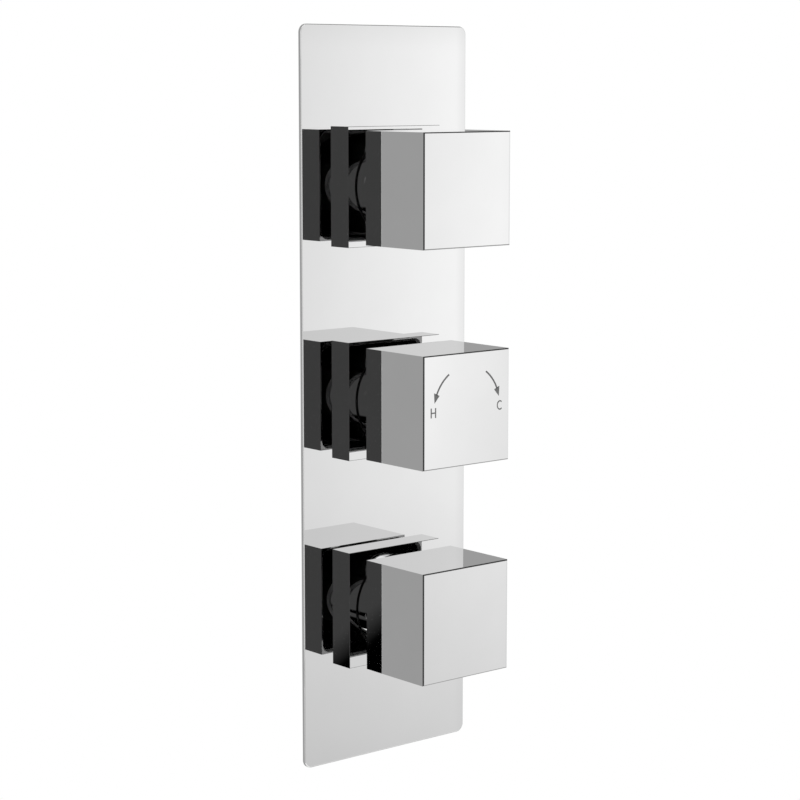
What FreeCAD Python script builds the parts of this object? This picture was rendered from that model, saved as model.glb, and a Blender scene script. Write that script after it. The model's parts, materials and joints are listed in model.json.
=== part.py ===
import FreeCAD, Part
import math
import os

# Concealed shower valve with three square knobs on an upright faceplate.
# Millimetres and degrees. X is to the right, Y goes into the wall, Z is up.
# Y = 0 is the finished wall, and the origin lies on the axis of the middle knob.
# Angles round a knob axis are counted anticlockwise from +X, as seen from the front.

# Faceplate and its gasket
PLATE_W = 86.0
PLATE_H = 300.0
PLATE_T = 2.0
PLATE_CORNER_R = 3.4
PLATE_EDGE_R = 0.4
PLATE_HOLE_CLEARANCE = 0.5
GASKET_INSET = 6.0
GASKET_W = 6.0
GASKET_T = 1.0

# Knob column
KNOB_TO_PLATE_END = 64.0
KNOB_SIDE = 45.0
KNOB_DEPTH = 35.2
KNOB_GAP = 9.2
KNOB_WALL = 1.5
KNOB_RIM = 0.5
KNOB_FRONT_WALL = 3.0
KNOB_CAVITY_R = 2.7
KNOB_EDGE = 0.45
BOSS_R = 10.0
BOSS_LENGTH = 29.0
BOSS_FLOOR = 4.0
RIB_W = 10.0
RIB_GAP = 1.8

# Collar, shroud and the ring seal between them
COLLAR_MARGIN = 1.5
COLLAR_T = 5.6
COLLAR_EDGE = 0.15
COLLAR_SEAM = 0.65
COLLAR_SEAL_W = 2.2
COLLAR_GROOVE_DEPTH = 1.3
SHROUD_GAP = 1.0
SHROUD_WALL = 3.0
SHROUD_INSERTION = 13.0
SHROUD_WEB_T = 4.0
SHROUD_EDGE = 0.5
TAIL_WALL = 2.2
TAIL_LENGTH = 9.0
TAIL_GAP = 1.0

# Splined drive and grub screw
INSERT_R = 7.0
INSERT_LENGTH = 19.0
SPLINE_R = 4.0
SPLINE_DEPTH = 0.45
SPLINE_TEETH = 20
SPLINE_LENGTH = 18.0
SPLINE_TIP_GAP = 1.0
GRUB_R = 2.5
GRUB_SEAT = 6.4
GRUB_RECESS = 1.5
GRUB_SOCKET_AF = 2.5
GRUB_SOCKET_DEPTH = 3.0

# Clearances and edges shared by several pieces
RUN_CLEARANCE = 0.05
PUSH_CLEARANCE = 0.02
THREAD_CLEARANCE = 0.1
SIDE_CLEARANCE = 0.1
HEX_CHAMFER = 1.2

# Bonnets and spindles
NECK_R = 12.0
BONNET_HEX_T = 6.0
BONNET_THREAD_LENGTH = 10.0
SKIRT_WALL = 1.4
SPINDLE_R = 5.0
SPINDLE_SEAL_R = 7.2
SPINDLE_SEAL_W = 2.4
SPINDLE_SEAL_GAP = 3.6
FIRST_SEAL_Y = 2.0
BONNET_SEAL_W = 2.0
BONNET_SEAL_T = 1.8

# Flow cartridges
DISC_R = 12.0
DISC_T = 4.0
DISC_PORT_IN_R = 3.5
DISC_PORT_EDGE = 2.2
DISC_PORT_HALF_DEG = 38.0
DISC_EAR = 1.2
DISC_EAR_HALF_DEG = 11.0
SEAT_SEAL_T = 2.5
SEAT_SEAL_W = 2.0
DRIVER_STEP = 2.6
DRIVER_GAP = 0.3
DRIVER_T = 5.0
DRIVER_TAB = 2.3
DRIVER_TAB_T = 3.2
DRIVER_TAB_HALF_DEG = 10.0
DRIVE_LUG_IN_R = 5.0
DRIVE_LUG_EDGE = 0.4
DRIVE_LUG_HALF_DEG = 15.0
DRIVE_LUG_T = 1.5
FLOW_TURN_DEG = 90.0
STOP_MARGIN_DEG = 0.6
WINDOW_HALF_DEG = 25.0
WINDOW_EDGE = 0.3
SKIRT_END_GAP = 0.5

# Thermostatic cartridge
HOT_TURN_DEG = 90.0
COLD_TURN_DEG = 150.0
SPIGOT_R = 8.0
SPIGOT_LENGTH = 3.0
STOP_RING_T = 5.0
STOP_RING_GAP = 0.4
STOP_LUG_T = 6.0
STOP_LUG_IN_R = 11.2
STOP_LUG_GAP = 1.0
FINGER_IN_R = 11.0
FINGER_SIDE_GAP = 0.6
FINGER_HALF_DEG = 10.0
FINGER_ROOT = 4.0
FINGER_GAP = 2.0
THERMO_BONNET_LENGTH = 9.0
SPINDLE_COLLAR_R = 7.0
SPINDLE_COLLAR_T = 2.0
SCREW_R = 3.5
SCREW_LENGTH = 6.5
NUT_CAVITY_R = 9.0
NUT_CAVITY_DEPTH = 11.0
NUT_LENGTH = 8.5
NUT_FLOOR = 1.5
NUT_KEY = 1.0
NUT_KEY_HALF_DEG = 15.0
NUT_START = 1.5
PIN_R = 2.0
PIN_LENGTH = 1.5
CAPSULE_R = 5.5
CAPSULE_LENGTH = 15.0
CAPSULE_FLANGE_R = 7.0
CAPSULE_FLANGE_T = 1.5
SHUTTLE_RIM = 1.6
SHUTTLE_HUB = 1.8
SHUTTLE_LENGTH = 6.5
SHUTTLE_SPOKES = 4
SHUTTLE_SPOKE_W = 2.4
SLEEVE_BORE_R = 12.0
SLEEVE_END_T = 1.5
SLEEVE_END_HOLE_R = 8.0
SLEEVE_LIP = 0.7
SLEEVE_LIP_GAP = 2.5
SLEEVE_LIP_T = 1.5
SLEEVE_WINDOW = 2.6
SLEEVE_WINDOW_HALF_DEG = 45.0
RETURN_SPRING_R = 10.0
RETURN_WIRE_R = 0.6
RETURN_TURNS = 4

# Valve body
TOWER_WALL = 6.0
CHAMBER_GAP = 1.5
CHAMBER_DEPTH = 30.0
CHAMBER_FLOOR = 4.0
FLOOR_HOLE_R = 8.0
DUCT_R = 7.5
DUCT_WALL = 4.9
BACK_WALL = 5.0
CASTING_RIB_W = 9.0
CASTING_RIB_Y = 16.0
CASTING_EDGE = 1.0
PORT_Y = 16.0
PORT_BOSS_R = 15.0
INLET_REACH = 25.0
OUTLET_REACH = 11.0
PORT_BORE_R = 10.0
OUTLET_HOLE_R = 7.5
INLET_HOLE_R = 7.0

# Unions, washers and filters
SPIGOT_DEPTH = 12.0
WASHER_T = 1.5
WASHER_RIM = 0.5
UNION_HEX_AF = 30.0
UNION_HEX_LENGTH = 15.0
PORT_R = 9.32
PORT_LENGTH = 13.0
UNION_PASSAGE_R = 6.5
FILTER_T = 1.0
FILTER_HOLE_R = 1.1
FILTER_PITCH = 3.2

# Non-return valves
CAGE_LENGTH = 11.0
CAGE_BORE_R = 8.0
CAGE_SEAT_T = 2.0
CAGE_SEAT_R = 5.0
CAGE_HUB_R = 3.5
CAGE_HUB_T = 2.0
CAGE_SPOKES = 3
CAGE_SPOKE_W = 2.0
POPPET_R = 6.5
POPPET_HEAD_T = 2.5
STEM_R = 2.0
STEM_TAIL = 2.0
CHECK_SPRING_R = 4.5
CHECK_WIRE_R = 0.22
CHECK_TURNS = 3

# Wall bracket and screws
BRACKET_W = 68.0
BRACKET_T = 2.0
BRACKET_CORNER_R = 8.0
FIXING_MARGIN_X = 7.0
FIXING_MARGIN_Z = 8.0
FIXING_HOLE_R = 2.75
SCREW_X = 14.0
BODY_SCREW_R = 2.45
BODY_SCREW_LENGTH = 12.0
BODY_SCREW_HEAD_R = 4.4
BODY_SCREW_HEAD_T = 1.8
BODY_SCREW_SOCKET_AF = 3.0
BODY_SCREW_SOCKET_DEPTH = 1.5

# A little more than enough for a cutter to pass through a face
OVER = 1.0

# Places and directions
KNOB_PITCH = PLATE_H / 2 - KNOB_TO_PLATE_END
ROWS = {"upper": KNOB_PITCH, "middle": 0.0, "lower": -KNOB_PITCH}
FLOW_ROWS = {"upper": KNOB_PITCH, "lower": -KNOB_PITCH}
INLETS = ("hot", "cold")
ALONG_X_DEG = (0, 180)
ALONG_Z_DEG = (90, 270)
UP_DEG = 90
WHOLE_TURN_DEG = 360
DIAGONALS_DEG = (45, 135, 225, 315)

# Stations along Y, from the room into the wall
PLATE_FRONT = -PLATE_T
COLLAR_FRONT = PLATE_FRONT - COLLAR_T
KNOB_BACK = COLLAR_FRONT - KNOB_GAP
KNOB_FRONT = KNOB_BACK - KNOB_DEPTH
KNOB_INNER = KNOB_FRONT + KNOB_FRONT_WALL
BOSS_END = KNOB_INNER + BOSS_LENGTH
INSERT_FRONT = KNOB_INNER + BOSS_FLOOR
SPLINE_TIP = INSERT_FRONT + SPLINE_TIP_GAP
SPLINE_END = SPLINE_TIP + SPLINE_LENGTH
SHROUD_FRONT = KNOB_BACK - SHROUD_INSERTION
RIB_BACK = SHROUD_FRONT - RIB_GAP
GRUB_Y = (KNOB_INNER + RIB_BACK) / 2
WEB_FRONT = PLATE_FRONT - SHROUD_WEB_T
FLANGE_FRONT = TAIL_LENGTH + TAIL_GAP
TOWER_FRONT = FLANGE_FRONT + BONNET_HEX_T
FLOOR_Y = TOWER_FRONT + CHAMBER_DEPTH
DUCT_Y = FLOOR_Y + CHAMBER_FLOOR + DUCT_R
TOWER_BACK = DUCT_Y + DUCT_R + BACK_WALL
BRACKET_BACK = TOWER_BACK + BRACKET_T
PORTS_Y = TOWER_FRONT + PORT_Y
FIXED_BACK = FLOOR_Y - SEAT_SEAL_T
FIXED_FRONT = FIXED_BACK - DISC_T
MOVING_FRONT = FIXED_FRONT - DISC_T
SHOULDER = MOVING_FRONT - DRIVER_T
SKIRT_END = FIXED_BACK - SKIRT_END_GAP
THERMO_END = TOWER_FRONT + THERMO_BONNET_LENGTH
NUT_CAVITY_FRONT = THERMO_END - NUT_CAVITY_DEPTH
SCREW_FRONT = NUT_CAVITY_FRONT + SPINDLE_COLLAR_T
NUT_FRONT = SCREW_FRONT + NUT_START
NUT_BACK = NUT_FRONT + NUT_LENGTH
CAPSULE_FRONT = NUT_BACK + PIN_LENGTH
SHUTTLE_FRONT = CAPSULE_FRONT + CAPSULE_FLANGE_T
SHUTTLE_BACK = SHUTTLE_FRONT + SHUTTLE_LENGTH
SLEEVE_INNER_END = FLOOR_Y - SLEEVE_END_T
SEAL_YS = (FIRST_SEAL_Y, FIRST_SEAL_Y + SPINDLE_SEAL_W + SPINDLE_SEAL_GAP)

# Sizes that mating pieces share
COLLAR_SIDE = KNOB_SIDE + 2 * COLLAR_MARGIN
KNOB_CAVITY_SIDE = KNOB_SIDE - 2 * KNOB_WALL
KNOB_MOUTH_SIDE = KNOB_SIDE - 2 * KNOB_RIM
KNOB_MOUTH_DEPTH = KNOB_WALL - KNOB_RIM
SHROUD_R = KNOB_CAVITY_SIDE / 2 - SHROUD_GAP
SHROUD_BORE_R = SHROUD_R - SHROUD_WALL
STOP_LUG_OUT_R = SHROUD_BORE_R - STOP_LUG_GAP
FINGER_OUT_R = STOP_LUG_OUT_R - FINGER_SIDE_GAP
COLLAR_HOLE_R = SHROUD_R + COLLAR_SEAM
COLLAR_GROOVE_R = SHROUD_R - COLLAR_GROOVE_DEPTH
TAIL_BORE_R = NECK_R + RUN_CLEARANCE
TAIL_R = TAIL_BORE_R + TAIL_WALL
PLATE_HOLE_R = TAIL_R + PLATE_HOLE_CLEARANCE
DISC_PORT_OUT_R = DISC_R - DISC_PORT_EDGE
DRIVER_R = DISC_R - DRIVER_STEP
DRIVE_LUG_OUT_R = DRIVER_R - DRIVE_LUG_EDGE
SKIRT_BORE_R = DISC_R + SIDE_CLEARANCE
SKIRT_R = SKIRT_BORE_R + SKIRT_WALL
CHAMBER_R = SKIRT_R + CHAMBER_GAP
THREAD_R = CHAMBER_R - THREAD_CLEARANCE
TOWER_R = CHAMBER_R + TOWER_WALL
SEAL_COUNTERBORE_R = CHAMBER_R + BONNET_SEAL_W
BONNET_HEX_AF = 2 * SEAL_COUNTERBORE_R
NUT_R = NUT_CAVITY_R - RUN_CLEARANCE
INLET_FACE = TOWER_R + INLET_REACH
OUTLET_FACE = KNOB_PITCH + TOWER_R + OUTLET_REACH
BRACKET_H = 2 * OUTLET_FACE
FIXING_X = BRACKET_W / 2 - FIXING_MARGIN_X
FIXING_Z = BRACKET_H / 2 - FIXING_MARGIN_Z
CAGE_START = INLET_FACE - SPIGOT_DEPTH - FILTER_T - CAGE_LENGTH


def vec(x, y, z):
    return FreeCAD.Vector(x, y, z)


def inlet_sign(name):
    """Hot water enters from the left and cold water from the right."""
    return -1 if name == "hot" else 1


def cyl_x(r, x0, x1, y, z):
    return Part.makeCylinder(r, x1 - x0, vec(x0, y, z), vec(1, 0, 0))


def cyl_y(r, y0, y1, z, x=0.0):
    return Part.makeCylinder(r, y1 - y0, vec(x, y0, z), vec(0, 1, 0))


def cyl_z(r, z0, z1, x, y):
    return Part.makeCylinder(r, z1 - z0, vec(x, y, z0), vec(0, 0, 1))


def turned(points, z):
    """Solid turned about a knob axis from (radius, y) points."""
    corners = [vec(r, y, 0) for r, y in points]
    face = Part.Face(Part.makePolygon(corners + corners[:1]))
    solid = face.revolve(vec(0, 0, 0), vec(0, 1, 0), WHOLE_TURN_DEG)
    solid.translate(vec(0, 0, z))
    return solid


def ring(r_in, r_out, y0, y1, z):
    return turned([(r_in, y0), (r_out, y0), (r_out, y1), (r_in, y1)], z)


def sector(r_in, r_out, start, end, y0, y1, z):
    """Part of a ring between two angles."""
    corners = [vec(r_in, y0, 0), vec(r_out, y0, 0), vec(r_out, y1, 0), vec(r_in, y1, 0)]
    face = Part.Face(Part.makePolygon(corners + corners[:1]))
    face.rotate(vec(0, 0, 0), vec(0, -1, 0), start)
    solid = face.revolve(vec(0, 0, 0), vec(0, -1, 0), end - start)
    solid.translate(vec(0, 0, z))
    return solid


def prism_y(points, y0, y1, z):
    """Straight prism along Y from (x, z) points."""
    corners = [vec(px, y0, pz + z) for px, pz in points]
    face = Part.Face(Part.makePolygon(corners + corners[:1]))
    return face.extrude(vec(0, y1 - y0, 0))


def hexagon(across_flats):
    r = across_flats / math.sqrt(3)
    return [(r * math.cos(math.radians(60 * i)), r * math.sin(math.radians(60 * i))) for i in range(6)]


def hex_nut(across_flats, z0, z1):
    """Hexagon along Z with its corners turned off at both ends."""
    corners = [vec(px, py, z0) for px, py in hexagon(across_flats)]
    prism = Part.Face(Part.makePolygon(corners + corners[:1])).extrude(vec(0, 0, z1 - z0))
    blank = cyl_z(across_flats / math.sqrt(3), z0, z1, 0, 0)
    rims = [e for e in blank.Edges if e.isClosed()]
    return prism.common(blank.makeChamfer(HEX_CHAMFER, rims))


def star(r_out, r_in, teeth):
    """Points of a splined outline."""
    points = []
    for i in range(2 * teeth):
        r = r_out if i % 2 == 0 else r_in
        angle = math.pi * i / teeth
        points.append((r * math.cos(angle), r * math.sin(angle)))
    return points


def block(w, h, y0, y1, z):
    return Part.makeBox(w, y1 - y0, h, vec(-w / 2, y0, z - h / 2))


def rounded_block(w, h, corner_r, y0, y1, z):
    """Upright block with its four edges along Y rounded."""
    solid = block(w, h, y0, y1, z)
    edges = [e for e in solid.Edges if abs(abs(e.tangentAt(e.FirstParameter).y) - 1) < 1e-6]
    return solid.makeFillet(corner_r, edges)


def edges_at(solid, y):
    return [e for e in solid.Edges if all(abs(v.Y - y) < 1e-6 for v in e.Vertexes)]


def coil(mean_r, wire_r, length, turns):
    """Round-wire helix standing on z = 0, and the least gap between its turns."""
    rise = length - 2 * wire_r
    pitch = rise / turns
    path = Part.Wire(Part.makeLongHelix(pitch, rise, mean_r))
    section = Part.Wire(Part.makeCircle(wire_r, vec(mean_r, 0, 0), vec(0, mean_r, pitch / (2 * math.pi))))
    solid = path.makePipeShell([section], True, True)
    solid.translate(vec(0, 0, wire_r))
    return solid, pitch - 2 * wire_r


def joined(first, *others):
    return first.fuse(list(others)).removeSplitter()


def cut(first, *others):
    return first.cut(list(others))


def make_faceplate():
    plate = rounded_block(PLATE_W, PLATE_H, PLATE_CORNER_R, PLATE_FRONT, 0, 0)
    plate = plate.makeFillet(PLATE_EDGE_R, edges_at(plate, PLATE_FRONT))
    holes = [cyl_y(PLATE_HOLE_R, PLATE_FRONT - OVER, OVER, z) for z in ROWS.values()]
    return cut(plate, gasket_frame(0.0, OVER), *holes)


def gasket_frame(clearance, over):
    """Frame that runs round the back of the faceplate; the channel is cut with the same sizes."""
    out_w = PLATE_W - 2 * GASKET_INSET - 2 * clearance
    out_h = PLATE_H - 2 * GASKET_INSET - 2 * clearance
    shrink = 2 * (GASKET_W - 2 * clearance)
    outer = block(out_w, out_h, -GASKET_T, over, 0)
    inner = block(out_w - shrink, out_h - shrink, -GASKET_T - OVER, over + OVER, 0)
    return cut(outer, inner)


def make_collar(z):
    collar = block(COLLAR_SIDE, COLLAR_SIDE, COLLAR_FRONT, PLATE_FRONT, z)
    collar = collar.makeChamfer(COLLAR_EDGE, edges_at(collar, COLLAR_FRONT))
    return cut(collar, cyl_y(COLLAR_HOLE_R, COLLAR_FRONT - OVER, PLATE_FRONT + OVER, z))


def collar_seal_span(clearance):
    middle = (COLLAR_FRONT + PLATE_FRONT) / 2
    half = COLLAR_SEAL_W / 2 + clearance
    return middle - half, middle + half


def make_shroud(z):
    groove_start, groove_end = collar_seal_span(SIDE_CLEARANCE)
    return turned(
        [
            (SHROUD_BORE_R + SHROUD_EDGE, SHROUD_FRONT),
            (SHROUD_R - SHROUD_EDGE, SHROUD_FRONT),
            (SHROUD_R, SHROUD_FRONT + SHROUD_EDGE),
            (SHROUD_R, groove_start),
            (COLLAR_GROOVE_R, groove_start),
            (COLLAR_GROOVE_R, groove_end),
            (SHROUD_R, groove_end),
            (SHROUD_R, PLATE_FRONT),
            (TAIL_R, PLATE_FRONT),
            (TAIL_R, TAIL_LENGTH),
            (TAIL_BORE_R, TAIL_LENGTH),
            (TAIL_BORE_R, WEB_FRONT),
            (SHROUD_BORE_R, WEB_FRONT),
            (SHROUD_BORE_R, SHROUD_FRONT + SHROUD_EDGE),
        ],
        z,
    )


def knob_cavity(z):
    """Hollow of a knob, flared at 45 degrees round its mouth."""
    side = KNOB_CAVITY_SIDE
    hollow = rounded_block(side, side, KNOB_CAVITY_R, KNOB_INNER, KNOB_BACK + OVER, z)
    flare_start = KNOB_BACK - KNOB_MOUTH_DEPTH
    flare_r = KNOB_CAVITY_R + KNOB_MOUTH_DEPTH
    flare = rounded_block(KNOB_MOUTH_SIDE, KNOB_MOUTH_SIDE, flare_r, flare_start, KNOB_BACK + OVER, z)
    return [hollow, flare.makeChamfer(KNOB_MOUTH_DEPTH, edges_at(flare, flare_start))]


def make_knob(z, finger):
    outer = block(KNOB_SIDE, KNOB_SIDE, KNOB_FRONT, KNOB_BACK, z)
    outer = outer.makeChamfer(KNOB_EDGE, edges_at(outer, KNOB_FRONT))
    boss = cyl_y(BOSS_R, KNOB_INNER, BOSS_END, z)
    rib_corner = vec(-RIB_W / 2, KNOB_INNER, z - KNOB_CAVITY_SIDE / 2)
    rib = Part.makeBox(RIB_W, RIB_BACK - KNOB_INNER, KNOB_CAVITY_SIDE / 2, rib_corner)
    solids = [boss, rib]
    if finger:
        start, end = UP_DEG - FINGER_HALF_DEG, UP_DEG + FINGER_HALF_DEG
        tip = WEB_FRONT - STOP_RING_T - FINGER_GAP
        solids.append(sector(BOSS_R - OVER, FINGER_OUT_R, start, end, BOSS_END - FINGER_ROOT, BOSS_END, z))
        solids.append(sector(FINGER_IN_R, FINGER_OUT_R, start, end, BOSS_END - FINGER_ROOT, tip, z))
    knob = joined(cut(outer, *knob_cavity(z)), *solids)
    bore = cyl_y(INSERT_R, INSERT_FRONT, BOSS_END + OVER, z)
    grub_hole = cyl_z(GRUB_R + RUN_CLEARANCE, z - KNOB_SIDE / 2 - OVER, z - INSERT_R / 2, 0, GRUB_Y)
    return cut(knob, bore, grub_hole)


def make_insert(z):
    r = INSERT_R - PUSH_CLEARANCE
    body = cyl_y(r, INSERT_FRONT, INSERT_FRONT + INSERT_LENGTH, z)
    wide = SPLINE_R + PUSH_CLEARANCE
    bore_end = INSERT_FRONT + INSERT_LENGTH + OVER
    bore = prism_y(star(wide, wide - SPLINE_DEPTH, SPLINE_TEETH), INSERT_FRONT - OVER, bore_end, z)
    seat = cyl_z(GRUB_R + SIDE_CLEARANCE, z - INSERT_R - OVER, z - GRUB_SEAT, 0, GRUB_Y)
    return cut(body, bore, seat)


def make_grub_screw(z):
    bottom = z - KNOB_SIDE / 2 + GRUB_RECESS
    screw = cyl_z(GRUB_R, bottom, z - GRUB_SEAT, 0, GRUB_Y)
    corners = [vec(px, GRUB_Y + py, bottom - OVER) for px, py in hexagon(GRUB_SOCKET_AF)]
    socket = Part.Face(Part.makePolygon(corners + corners[:1])).extrude(vec(0, 0, GRUB_SOCKET_DEPTH + OVER))
    return cut(screw, socket)


def bonnet_front(z):
    """Neck and hexagon that all three bonnets have in common."""
    neck = cyl_y(NECK_R, WEB_FRONT, TOWER_FRONT, z)
    nut = hex_nut(BONNET_HEX_AF, FLANGE_FRONT, TOWER_FRONT)
    nut.rotate(vec(0, 0, 0), vec(1, 0, 0), -90)
    nut.translate(vec(0, 0, z))
    return joined(neck, nut)


def seal_grooves(z):
    r_in = SPINDLE_R - OVER
    width = SPINDLE_SEAL_W + 2 * SIDE_CLEARANCE
    starts = [y - SIDE_CLEARANCE for y in SEAL_YS]
    return [ring(r_in, SPINDLE_SEAL_R, start, start + width, z) for start in starts]


def make_flow_bonnet(z):
    thread_end = TOWER_FRONT + BONNET_THREAD_LENGTH
    thread = cyl_y(THREAD_R, TOWER_FRONT, thread_end, z)
    skirt = cyl_y(SKIRT_R, thread_end, SKIRT_END, z)
    bonnet = joined(bonnet_front(z), thread, skirt)
    bore = cyl_y(SPINDLE_R + RUN_CLEARANCE, WEB_FRONT - OVER, SHOULDER + OVER, z)
    cavity = cyl_y(SKIRT_BORE_R, SHOULDER, SKIRT_END + OVER, z)
    tools = [bore, cavity] + seal_grooves(z)
    for middle in DIAGONALS_DEG:
        tools.append(
            sector(
                SKIRT_BORE_R - OVER,
                SKIRT_R + OVER,
                middle - WINDOW_HALF_DEG,
                middle + WINDOW_HALF_DEG,
                MOVING_FRONT + WINDOW_EDGE,
                FIXED_FRONT - WINDOW_EDGE,
                z,
            )
        )
    for middle in ALONG_X_DEG:
        tools.append(
            sector(
                SKIRT_BORE_R - OVER,
                SKIRT_R + OVER,
                middle - DISC_EAR_HALF_DEG,
                middle + DISC_EAR_HALF_DEG,
                FIXED_FRONT,
                SKIRT_END + OVER,
                z,
            )
        )
    stop_start = UP_DEG + DRIVER_TAB_HALF_DEG + FLOW_TURN_DEG + STOP_MARGIN_DEG
    stop_end = WHOLE_TURN_DEG + UP_DEG - DRIVER_TAB_HALF_DEG - STOP_MARGIN_DEG
    stop_in_r = DRIVER_R + DRIVER_GAP
    stop_out_r = SKIRT_BORE_R + SKIRT_WALL / 2
    stop = sector(stop_in_r, stop_out_r, stop_start, stop_end, SHOULDER, SHOULDER + DRIVER_TAB_T, z)
    return joined(cut(bonnet, *tools), stop)


def make_flow_spindle(z):
    spline = prism_y(star(SPLINE_R, SPLINE_R - SPLINE_DEPTH, SPLINE_TEETH), SPLINE_TIP, SPLINE_END, z)
    shank = cyl_y(SPINDLE_R, SPLINE_END, SHOULDER, z)
    driver = cyl_y(DRIVER_R, SHOULDER, MOVING_FRONT, z)
    tab_end = SHOULDER + DRIVER_TAB_T - SIDE_CLEARANCE
    first, last = UP_DEG - DRIVER_TAB_HALF_DEG, UP_DEG + DRIVER_TAB_HALF_DEG
    tab = sector(DRIVER_R - OVER, DRIVER_R + DRIVER_TAB, first, last, SHOULDER, tab_end, z)
    lugs = [drive_lug(middle, 0.0, DRIVER_T / 2, z) for middle in ALONG_Z_DEG]
    return joined(spline, shank, driver, tab, *lugs)


def drive_lug(middle, clearance, root, z):
    """Lug of the spindle that turns the moving disc; its slot is cut with a clearance."""
    half = DRIVE_LUG_HALF_DEG + math.degrees(clearance / DRIVE_LUG_IN_R)
    return sector(
        DRIVE_LUG_IN_R - clearance,
        DRIVE_LUG_OUT_R + clearance,
        middle - half,
        middle + half,
        MOVING_FRONT - root,
        MOVING_FRONT + DRIVE_LUG_T + clearance,
        z,
    )


def make_moving_disc(z):
    disc = cyl_y(DISC_R - 2 * SIDE_CLEARANCE, MOVING_FRONT, FIXED_FRONT, z)
    notches = [
        sector(
            DISC_PORT_IN_R,
            DISC_R + OVER,
            middle - DISC_PORT_HALF_DEG,
            middle + DISC_PORT_HALF_DEG,
            MOVING_FRONT - OVER,
            FIXED_FRONT + OVER,
            z,
        )
        for middle in ALONG_X_DEG
    ]
    slots = [drive_lug(middle, SIDE_CLEARANCE, OVER, z) for middle in ALONG_Z_DEG]
    return cut(disc, *notches, *slots)


def make_fixed_disc(z):
    disc = cyl_y(DISC_R, FIXED_FRONT, FIXED_BACK, z)
    half = DISC_EAR_HALF_DEG - math.degrees(SIDE_CLEARANCE / DISC_R)
    ears = [
        sector(DISC_R - OVER, DISC_R + DISC_EAR, middle - half, middle + half, FIXED_FRONT, FIXED_BACK, z)
        for middle in ALONG_X_DEG
    ]
    ports = [
        sector(
            DISC_PORT_IN_R,
            DISC_PORT_OUT_R,
            middle - DISC_PORT_HALF_DEG,
            middle + DISC_PORT_HALF_DEG,
            FIXED_FRONT - OVER,
            FIXED_BACK + OVER,
            z,
        )
        for middle in ALONG_Z_DEG
    ]
    return cut(joined(disc, *ears), *ports)


def make_thermo_bonnet(z):
    thread = cyl_y(THREAD_R, TOWER_FRONT, THERMO_END, z)
    spigot = cyl_y(SPIGOT_R, WEB_FRONT - SPIGOT_LENGTH, WEB_FRONT, z)
    bonnet = joined(bonnet_front(z), thread, spigot)
    bore = cyl_y(SPINDLE_R + RUN_CLEARANCE, WEB_FRONT - SPIGOT_LENGTH - OVER, NUT_CAVITY_FRONT + OVER, z)
    cavity = cyl_y(NUT_CAVITY_R, NUT_CAVITY_FRONT, THERMO_END + OVER, z)
    slot_end = THERMO_END + OVER
    slots = [nut_key(middle, SIDE_CLEARANCE, NUT_CAVITY_FRONT, slot_end, z) for middle in ALONG_Z_DEG]
    return cut(bonnet, bore, cavity, *seal_grooves(z), *slots)


def nut_key(middle, clearance, y0, y1, z):
    """Key that keeps the drive nut from turning; its slot is cut with a clearance."""
    half = NUT_KEY_HALF_DEG + math.degrees(clearance / NUT_R)
    return sector(NUT_R - OVER, NUT_R + NUT_KEY + clearance, middle - half, middle + half, y0, y1, z)


def make_thermo_spindle(z):
    spline = prism_y(star(SPLINE_R, SPLINE_R - SPLINE_DEPTH, SPLINE_TEETH), SPLINE_TIP, SPLINE_END, z)
    shank = cyl_y(SPINDLE_R, SPLINE_END, NUT_CAVITY_FRONT, z)
    collar = cyl_y(SPINDLE_COLLAR_R, NUT_CAVITY_FRONT, SCREW_FRONT, z)
    screw = cyl_y(SCREW_R, SCREW_FRONT, SCREW_FRONT + SCREW_LENGTH, z)
    return joined(spline, shank, collar, screw)


def make_stop_ring(z):
    front = WEB_FRONT - STOP_RING_T
    outer_r = SHROUD_BORE_R - STOP_RING_GAP
    base = ring(SPIGOT_R + PUSH_CLEARANCE, outer_r, front, WEB_FRONT, z)
    start = UP_DEG + FINGER_HALF_DEG + HOT_TURN_DEG + STOP_MARGIN_DEG
    end = WHOLE_TURN_DEG + UP_DEG - FINGER_HALF_DEG - COLD_TURN_DEG - STOP_MARGIN_DEG
    lug = sector(STOP_LUG_IN_R, STOP_LUG_OUT_R, start, end, front - STOP_LUG_T, front, z)
    return joined(base, lug)


def make_drive_nut(z):
    nut = cyl_y(NUT_R, NUT_FRONT, NUT_BACK, z)
    keys = [nut_key(middle, 0.0, NUT_FRONT, NUT_BACK, z) for middle in ALONG_Z_DEG]
    bore = cyl_y(SCREW_R + RUN_CLEARANCE, NUT_FRONT - OVER, NUT_BACK - NUT_FLOOR, z)
    return cut(joined(nut, *keys), bore)


def make_wax_element(z):
    pin = cyl_y(PIN_R, NUT_BACK, CAPSULE_FRONT, z)
    capsule = cyl_y(CAPSULE_R, CAPSULE_FRONT, CAPSULE_FRONT + CAPSULE_LENGTH, z)
    flange = cyl_y(CAPSULE_FLANGE_R, CAPSULE_FRONT, SHUTTLE_FRONT, z)
    return joined(pin, capsule, flange)


def make_shuttle(z):
    rim_r = SLEEVE_BORE_R - RUN_CLEARANCE
    rim = ring(rim_r - SHUTTLE_RIM, rim_r, SHUTTLE_FRONT, SHUTTLE_BACK, z)
    hub_in = CAPSULE_R + PUSH_CLEARANCE
    hub_out = hub_in + SHUTTLE_HUB
    hub = ring(hub_in, hub_out, SHUTTLE_FRONT, SHUTTLE_BACK, z)
    half = math.degrees(SHUTTLE_SPOKE_W / 2 / hub_out)
    middles = [WHOLE_TURN_DEG * i / SHUTTLE_SPOKES for i in range(SHUTTLE_SPOKES)]
    reach = rim_r - SHUTTLE_RIM / 2
    near = hub_out - SHUTTLE_HUB / 2
    spokes = [sector(near, reach, m - half, m + half, SHUTTLE_FRONT, SHUTTLE_BACK, z) for m in middles]
    return joined(rim, hub, *spokes)


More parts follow.
